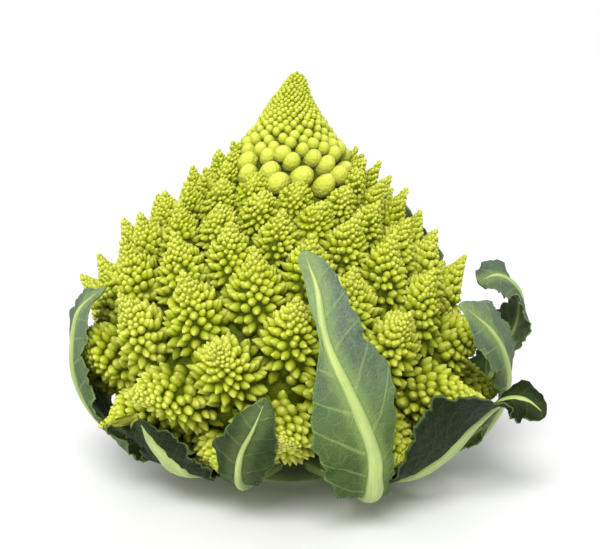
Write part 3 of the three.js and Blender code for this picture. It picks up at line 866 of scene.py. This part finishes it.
def leaf_veins(nodes, source):
    """Vein masks on a blade from its own coordinates: side veins and the net between them."""
    along, across = source["Along"], source["Across"]
    reach = nodes.math("ABSOLUTE", across)
    run = nodes.times(nodes.times(reach, reach), -VEIN_CURVE, plus=along)
    run = nodes.times(reach, -VEIN_SWEEP, plus=run)
    run = nodes.times(nodes.noise(60.0, 1.0), 2.4, plus=run)
    run = nodes.math("DIVIDE", run, VEIN_SPACING)
    place = nodes.times(nodes.math("SIGN", across), VEIN_STAGGER, plus=run)
    off = nodes.math("ABSOLUTE", nodes.math("SUBTRACT", place, nodes.math("ROUND", place)))
    wide = nodes.ramp(source["Edge"], 0.0, 1.0, 1.3, 0.45)
    off = nodes.math("DIVIDE", nodes.times(off, VEIN_SPACING), wide)
    flat = nodes.node("ShaderNodeCombineXYZ", X=along, Y=across).outputs[0]
    coarse, fine = (
        nodes.ramp(nodes.cells(scale, flat, "DISTANCE_TO_EDGE"), 0.0, width, 1.0, 0.0)
        for scale, width in ((0.26, 0.07), (0.62, 0.09))
    )
    return nodes.ramp(off, 0.25, 1.0, 1.0, 0.0), nodes.times(fine, 0.5, plus=coarse, clamp=True)


EFFECTS = {  # what builds each, its inputs with their defaults, and its outputs
    "Growth mottling": (
        mottling, {"Patch Size": 20.0, "Speckle Size": 0.8}, ("Patches", "Speckles")
    ),
    "Skin grain": (skin_grain, {"Cell Size": 0.5, "Swelling": 0.5}, ("Height",)),
    "Leaf veins": (leaf_veins, {"Along": 0.0, "Across": 0.0, "Edge": 0.0}, ("Side Veins", "Net")),
}


def build_effect(name):
    build, inputs, outputs = EFFECTS[name]
    tree = bpy.data.node_groups.new(name, "ShaderNodeTree")
    for key, default in inputs.items():
        socket = tree.interface.new_socket(key, in_out="INPUT", socket_type="NodeSocketFloat")
        socket.default_value = default
    for key in outputs:
        tree.interface.new_socket(key, in_out="OUTPUT", socket_type="NodeSocketFloat")
    nodes = Nodes(tree)
    made = build(nodes, nodes.node("NodeGroupInput").outputs)
    nodes.node("NodeGroupOutput", **dict(zip(outputs, made)))


def new_material(name):
    material = bpy.data.materials.new(name)
    material.use_nodes = True
    return material, Nodes(material.node_tree)


def curd_material(settings):
    """Lime-green buds: painted shade where they meet and low between the florets, yellow-green tips
    under a painted highlight, faintly waxy.
    """
    material, nodes = new_material("Romanesco curd")
    rise, tone, crest, size = nodes.attributes("rise", "tone", "crest", "bud_size")
    growth = nodes.effect("Growth mottling", Patch_Size=16.0, Speckle_Size=0.7)
    # painted shade in the crevices: how far a bud's flank is clear of it, by its rise, with less of
    # it on small buds
    lit = nodes.math("ADD", nodes.ramp(rise, 0.05, 0.55), nodes.ramp(size, 0.8, 2.4, 0.55, 0.0))
    # the buds' yellow-green tips, lightened as a painted highlight, with a little random tone
    tip_and_highlight_share = nodes.times(tone, 0.14, plus=nodes.ramp(rise, 0.4, 0.9))
    colour = nodes.layered(
        settings.crevice_shade_and_speck_colour,
        (lit, settings.bud_colour),
        (nodes.times(tip_and_highlight_share, 0.85), settings.tip_and_highlight_colour),
        (nodes.times(growth["Patches"], 0.25), settings.bud_colour),
        # random dark speckles, in the dark green of the painted crevice shade
        (nodes.times(growth["Speckles"], 0.12), settings.crevice_shade_and_speck_colour),
        # painted shade low on the florets and in the gaps between them
        (nodes.ramp(crest, 0.0, 0.4, 0.3, 0.0), settings.crevice_shade_and_speck_colour),
        # painted highlight towards the florets' tips and on the crown's balls
        (nodes.ramp(crest, 0.5, 1.0, 0.0, 0.4), settings.tip_and_highlight_colour),
    )
    nubs = nodes.math("SUBTRACT", 1.0, nodes.cells(720.0))
    nubs = nodes.times(nubs, nodes.ramp(size, 1.2, 5.0, 0.0, 1.8))
    grain = nodes.effect("Skin grain", Cell_Size=0.35, Swelling=0.6)["Height"]
    nodes.shader(
        nodes.times(nubs, 2.2, plus=grain),
        bump=(0.5, 0.0004),
        Base_Color=colour,
        Roughness=nodes.ramp(growth["Patches"], 0.0, 1.0, 0.42, 0.55),
        scatter=(0.1, (0.9, 1.0, 0.2), 0.0018),
        Specular_IOR_Level=0.12,
    )
    return material


def blade_material(settings):
    """Waxy blue-green blade: pale veins, a grey bloom, darker green inside, painted shade towards
    the floor, and a darker green on some leaves that is partly painted shade.
    """
    material, nodes = new_material("Romanesco leaf blade")
    along, across, edge = nodes.attributes("leaf_along", "leaf_across", "leaf_edge")
    inside, tone = nodes.attributes("inside", "leaf_tone")
    veins = nodes.effect("Leaf veins", Along=along, Across=across, Edge=edge)
    growth = nodes.effect("Growth mottling", Patch_Size=26.0, Speckle_Size=1.1)
    height = nodes.height()
    waxed = nodes.times(nodes.ramp(height, 0.035, 0.1), 0.5, plus=0.03)
    waxed = nodes.times(nodes.times(growth["Speckles"], 0.5, plus=0.5), waxed)
    pale = nodes.times(tone, -0.88, plus=1.0)
    by_rib = nodes.ramp(nodes.math("ABSOLUTE", across), 2.0, 7.0, 0.55, 0.0)
    dark, vein = settings.blade_dark_and_shade_colour, settings.vein_colour
    colour = nodes.layered(
        settings.blade_colour,
        (growth["Patches"], dark),
        (nodes.times(inside, 0.55), dark),
        # painted shade: the blade darkens towards the floor, most up to 15 mm and none from 70 mm
        (nodes.ramp(height, 0.015, 0.07, 0.65, 0.0), dark),
        (waxed, settings.bloom_colour),
        # painted shade, in part: leaves that sit in shade are laid over with the darkest green, on
        # top of their own deeper green
        (nodes.times(tone, 0.97), settings.deep_green_and_shade_colour),
        (nodes.times(nodes.times(veins["Net"], 0.15), pale), vein),
        (nodes.times(nodes.times(veins["Side Veins"], 0.45), pale), vein),
        (nodes.times(by_rib, pale), vein),
        (nodes.ramp(edge, 0.94, 1.0, 0.0, 0.3), vein),
    )
    relief = nodes.effect("Skin grain", Cell_Size=0.6, Swelling=1.2)["Height"]
    relief = nodes.times(veins["Net"], -1.6, plus=relief)
    nodes.shader(
        nodes.times(veins["Side Veins"], 1.4, plus=relief),
        bump=(0.5, 0.0004),
        Base_Color=colour,
        Roughness=nodes.ramp(growth["Speckles"], 0.0, 1.0, 0.42, 0.6),
        scatter=(0.05, (0.6, 1.0, 0.3), 0.0015),
        Specular_IOR_Level=0.09,
    )
    return material


def rib_material(settings):
    """Smooth pale rib, greener at its sides, with faint lengthwise fibres."""
    material, nodes = new_material("Romanesco leaf rib")
    along, across = nodes.attributes("leaf_along", "leaf_across")
    growth = nodes.effect("Growth mottling", Patch_Size=14.0, Speckle_Size=0.9)
    drawn_out = nodes.node("ShaderNodeCombineXYZ", X=nodes.times(along, 0.05), Y=across)
    fibres = nodes.noise(1.1, 3.0, drawn_out.outputs[0])
    colour = nodes.layered(
        settings.rib_colour,
        (nodes.ramp(nodes.math("ABSOLUTE", across), 1.2, 3.0, 0.0, 0.75), settings.vein_colour),
        (nodes.ramp(fibres, 0.42, 0.62, 0.0, 0.6), settings.rib_light_colour),
        (nodes.times(growth["Patches"], 0.5), settings.vein_colour),
    )
    grain = nodes.effect("Skin grain", Cell_Size=0.7, Swelling=0.8)["Height"]
    nodes.shader(
        nodes.times(fibres, 1.5, plus=grain),
        bump=(0.3, 0.0003),
        Base_Color=colour,
        Roughness=nodes.ramp(growth["Speckles"], 0.0, 1.0, 0.38, 0.5),
        scatter=(0.12, (0.9, 1.0, 0.4), 0.002),
        Specular_IOR_Level=0.5,
    )
    return material


def stem_material(settings):
    """Pale stem with green skin darkened by painted shade under the head, and a moist cut face
    ringed by its fibres.
    """
    material, nodes = new_material("Romanesco stem")
    cut, out = nodes.attributes("cut_face", "from_middle")
    growth = nodes.effect("Growth mottling", Patch_Size=12.0, Speckle_Size=1.0)
    ring = nodes.math("ABSOLUTE", nodes.math("SUBTRACT", out, 0.8))
    flesh = nodes.layered(
        settings.flesh_colour,
        (growth["Speckles"], settings.rib_light_colour),
        (nodes.ramp(ring, 0.02, 0.07, 0.7, 0.0), settings.vein_colour),
    )
    colour = nodes.layered(
        settings.rib_colour,
        (growth["Patches"], settings.vein_colour),
        # painted shade: the stem's skin is laid over with the darkest green, more above 6 mm where
        # the head shades it
        (nodes.ramp(nodes.height(), 0.0, 0.006, 0.45, 0.88), settings.deep_green_and_shade_colour),
        (cut, flesh),
    )
    nodes.shader(
        nodes.effect("Skin grain", Cell_Size=0.8, Swelling=1.5)["Height"],
        bump=(0.4, 0.0004),
        Base_Color=colour,
        Roughness=nodes.ramp(cut, 0.0, 1.0, 0.55, 0.36),
        scatter=(0.1, (0.9, 1.0, 0.5), 0.002),
    )
    return material


def floor_material(settings):
    """Plain pale studio acrylic with a fine tooth."""
    material, nodes = new_material("Studio floor")
    nodes.shader(
        nodes.noise(900.0, 3.0),
        bump=(0.05, 0.0002),
        Base_Color=settings.floor_colour,
        Roughness=0.3,
        Specular_IOR_Level=0.3,
    )
    return material


# ---- settings a user would change


def colour_property(name, description, default):
    return FloatVectorProperty(
        name=name, description=description, default=default, subtype="COLOR", min=0, max=1
    )


def length_property(name, description, default, least, most):
    return FloatProperty(
        name=name,
        description=description,
        default=default,
        min=least,
        max=most,
        precision=4,
        unit="LENGTH",
    )


def strength_property(name, description, default):
    return FloatProperty(name=name, description=description, default=default, min=0)


class RomanescoCurdSettings(bpy.types.PropertyGroup):
    """Colours of the curd"""

    # the buds' yellow-green tips, lightened as a painted highlight
    tip_and_highlight_colour: colour_property("Tips", "Colour of the buds' tips", (0.72, 0.745, 0.135))
    bud_colour: colour_property("Buds", "Colour of the buds' flanks", (0.385, 0.45, 0.013))
    # painted shade between the buds and florets, also used for dark speckles
    crevice_shade_and_speck_colour: colour_property("Crevices", "Colour between the buds", (0.04, 0.06, 0.001))


class RomanescoLeafSettings(bpy.types.PropertyGroup):
    """Sizes and colours of the leaves and the stem"""

    thickness: length_property(
        "Blade Thickness", "Thickness of a blade beside its rib", 0.0011, 0.0004, 0.003
    )
    margin_wave: length_property(
        "Margin Wave", "How far a blade's margin waves to either side", 0.0013, 0, 0.004
    )
    vein_relief: length_property(
        "Vein Relief", "How far the side veins stand out on the outer face", 0.0004, 0, 0.001
    )
    blade_colour: colour_property("Blade", "Colour of a blade's outer face", (0.09, 0.15, 0.036))
    # the darker green of patches and inner faces, also laid low on the blades as painted shade
    blade_dark_and_shade_colour: colour_property("Blade Shade", "Darker green", (0.045, 0.085, 0.017))
    # partly a deeper green of its own on some leaves, partly painted shade on leaves in shade and
    # on the stem's skin
    deep_green_and_shade_colour: colour_property("Deep Green and Shade", "Darkest green", (0.006, 0.015, 0.002))
    bloom_colour: colour_property("Bloom", "Grey wax on the blades", (0.235, 0.295, 0.28))
    vein_colour: colour_property("Veins", "Colour of the side veins", (0.26, 0.36, 0.11))
    rib_colour: colour_property("Rib", "Colour of ribs and stalks", (0.37, 0.47, 0.12))
    rib_light_colour: colour_property("Rib Fibres", "Lighter fibres", (0.5, 0.58, 0.22))
    flesh_colour: colour_property("Flesh", "Colour of the stem's cut face", (0.7, 0.74, 0.45))


class RomanescoStageSettings(bpy.types.PropertyGroup):
    """The studio round the head"""

    floor_colour: colour_property("Floor", "Colour of the studio floor", (0.9, 0.9, 0.9))
    key_power: strength_property("Overhead Light", "Strength of the main soft light", 2.7)
    fill_power: strength_property("Side Light", "Strength of the side light", 1.15)
    surround: strength_property("Surround", "Strength of the white surround's light", 0.6)
    distance: length_property(
        "Camera Distance", "From the lens to the head's middle", 0.602, 0.2, 5
    )
    elevation: FloatProperty(
        name="Camera Elevation",
        description="Camera's angle above the floor",
        default=12 * DEGREE,
        subtype="ANGLE",
    )


# ---- operators


class RomanescoCurd(bpy.types.Operator):
    """Grows the curd: the crown of bare buds and the florets, one piece for each spiral arm"""

    bl_idname = "romanesco.curd"
    bl_label = "Grow Curd"
    ARMS = 8

    def execute(self, context):
        material = curd_material(context.scene.romanesco_curd)
        shoots = head_shoots()
        bare = shoots[:, 2] < ball_limit(shoots[:, 1])
        press = Press()
        crown = Batch()
        add_crown(crown, shoots[bare])
        seat(crown.make("curd_crown", material, press), "curd", "curd")
        for arm in range(self.ARMS):
            florets = Batch()
            for seed in np.flatnonzero(~bare):
                if seed % self.ARMS == arm:
                    add_floret(florets, int(seed), shoots)
            seat(florets.make(f"curd_arm_{arm + 1}", material, press), "curd", "curd")
        return {"FINISHED"}


class RomanescoLeaves(bpy.types.Operator):
    """Grows the outer leaves, a blade and a rib each"""

    bl_idname = "romanesco.leaves"
    bl_label = "Grow Leaves"

    def execute(self, context):
        settings = context.scene.romanesco_leaf
        blade, rib = blade_material(settings), rib_material(settings)
        for name, leaf in leaves().items():
            seat(leaf.blade().make(f"{name}_blade_grown", blade), "leaf_blade", f"{name}_blade")
            seat(leaf.rib().make(f"{name}_rib_grown", rib), "leaf_rib", f"{name}_rib")
        return {"FINISHED"}


class RomanescoStem(bpy.types.Operator):
    """Makes the thick stem with its cut face"""

    bl_idname = "romanesco.stem"
    bl_label = "Grow Stem"

    def execute(self, context):
        outline = [(0, 0), (7, 0), (14, 0), (19.8, 0), (20.8, 0.35), (21.2, 1.4)]
        outline += [(21.3, 5), (21.5, 9), (21.8, 13), (22.6, 17), (24, 21), (25, 24), (0, 24)]
        r, z = np.array(outline).T
        turn = turns(72)
        swell = 1 + 0.012 * np.sin(5 * turn) + 0.008 * np.sin(11 * turn + 1)
        batch = Batch()
        batch.add(
            around_z(r[:, None] * swell, turn, z[:, None]),
            grid_triangles(len(r), len(turn), closed=True),
            cut_face=np.repeat(z <= 0.4, len(turn)),
            from_middle=np.repeat(r / 21, len(turn)),
        )
        material = stem_material(context.scene.romanesco_leaf)
        seat(batch.make("stem_grown", material), "stem", "stem")
        return {"FINISHED"}


class RomanescoStage(bpy.types.Operator):
    """Sets the pale floor, the soft lights, the white surround and the camera"""

    bl_idname = "romanesco.stage"
    bl_label = "Set Stage"

    def execute(self, context):
        settings = context.scene.romanesco_stage
        self.floor(settings)
        self.lights(context, settings)
        self.camera(context, settings)
        return {"FINISHED"}

    @staticmethod
    def floor(settings):
        reach, drop, count = 4000, 0.2, 9
        x, y = np.meshgrid(*[np.linspace(-reach, reach, count)] * 2)
        batch = Batch()
        batch.add(np.stack([x, y, x * 0 - drop], -1), grid_triangles(count, count))
        batch.make("studio_floor", floor_material(settings))

    @staticmethod
    def lights(context, settings):
        for name, power, softness, spot in (
            ("Overhead light", settings.key_power, 28, (-0.1, -0.92, 1.0)),
            ("Side light", settings.fill_power, 60, (-0.5, -1.0, 0.55)),
        ):
            light = bpy.data.lights.new(name, "SUN")
            light.energy, light.angle = power, softness * DEGREE
            lamp = bpy.data.objects.new(name, light)
            context.scene.collection.objects.link(lamp)
            lamp.location = spot
            lamp.rotation_euler = Vector(spot).to_track_quat("Z", "Y").to_euler()
        world = bpy.data.worlds.new("White surround")
        world.use_nodes = True
        nodes = Nodes(world.node_tree)
        seen = nodes.node("ShaderNodeLightPath").outputs["Is Camera Ray"]
        strength = nodes.ramp(seen, 0.0, 1.0, settings.surround, 1.0)
        background = nodes.node("ShaderNodeBackground", Color=(1, 1, 1, 1), Strength=strength)
        nodes.node("ShaderNodeOutputWorld", Surface=background.outputs[0])
        context.scene.world = world
        context.scene.view_settings.view_transform = "Standard"

    @staticmethod
    def camera(context, settings):
        target = Vector((0.004, 0, 0.086))
        back = Vector((0, -math.cos(settings.elevation), math.sin(settings.elevation)))
        lens = bpy.data.cameras.new("Camera")
        lens.lens, lens.sensor_width = 85, 36
        camera = bpy.data.objects.new("Camera", lens)
        context.scene.collection.objects.link(camera)
        camera.location = target + back * settings.distance
        camera.rotation_euler = (-back).to_track_quat("-Z", "Y").to_euler()
        context.scene.camera = camera


class RomanescoPanel(bpy.types.Panel):
    """Settings and steps of the romanesco head"""

    bl_idname = "VIEW3D_PT_romanesco"
    bl_label = "Romanesco"
    bl_space_type = "VIEW_3D"
    bl_region_type = "UI"
    bl_category = "Romanesco"

    def draw(self, context):
        for group, operators in (
            (context.scene.romanesco_curd, (RomanescoCurd,)),
            (context.scene.romanesco_leaf, (RomanescoLeaves, RomanescoStem)),
            (context.scene.romanesco_stage, (RomanescoStage,)),
        ):
            box = self.layout.box()
            for key in group.__annotations__:
                box.prop(group, key)
            for operator in operators:
                box.operator(operator.bl_idname)


GROUPS = {
    "romanesco_curd": RomanescoCurdSettings,
    "romanesco_leaf": RomanescoLeafSettings,
    "romanesco_stage": RomanescoStageSettings,
}
OPERATORS = (RomanescoCurd, RomanescoLeaves, RomanescoStem, RomanescoStage)


def register():
    for item in (*GROUPS.values(), *OPERATORS, RomanescoPanel):
        bpy.utils.register_class(item)
    for name, group in GROUPS.items():
        setattr(bpy.types.Scene, name, PointerProperty(type=group))


def unregister():
    for name in GROUPS:
        delattr(bpy.types.Scene, name)
    for item in reversed((*GROUPS.values(), *OPERATORS, RomanescoPanel)):
        bpy.utils.unregister_class(item)


def main():
    register()
    bpy.ops.romanesco.curd()
    bpy.ops.romanesco.leaves()
    bpy.ops.romanesco.stem()
    bpy.ops.romanesco.stage()


if __name__ == "__main__":
    main()
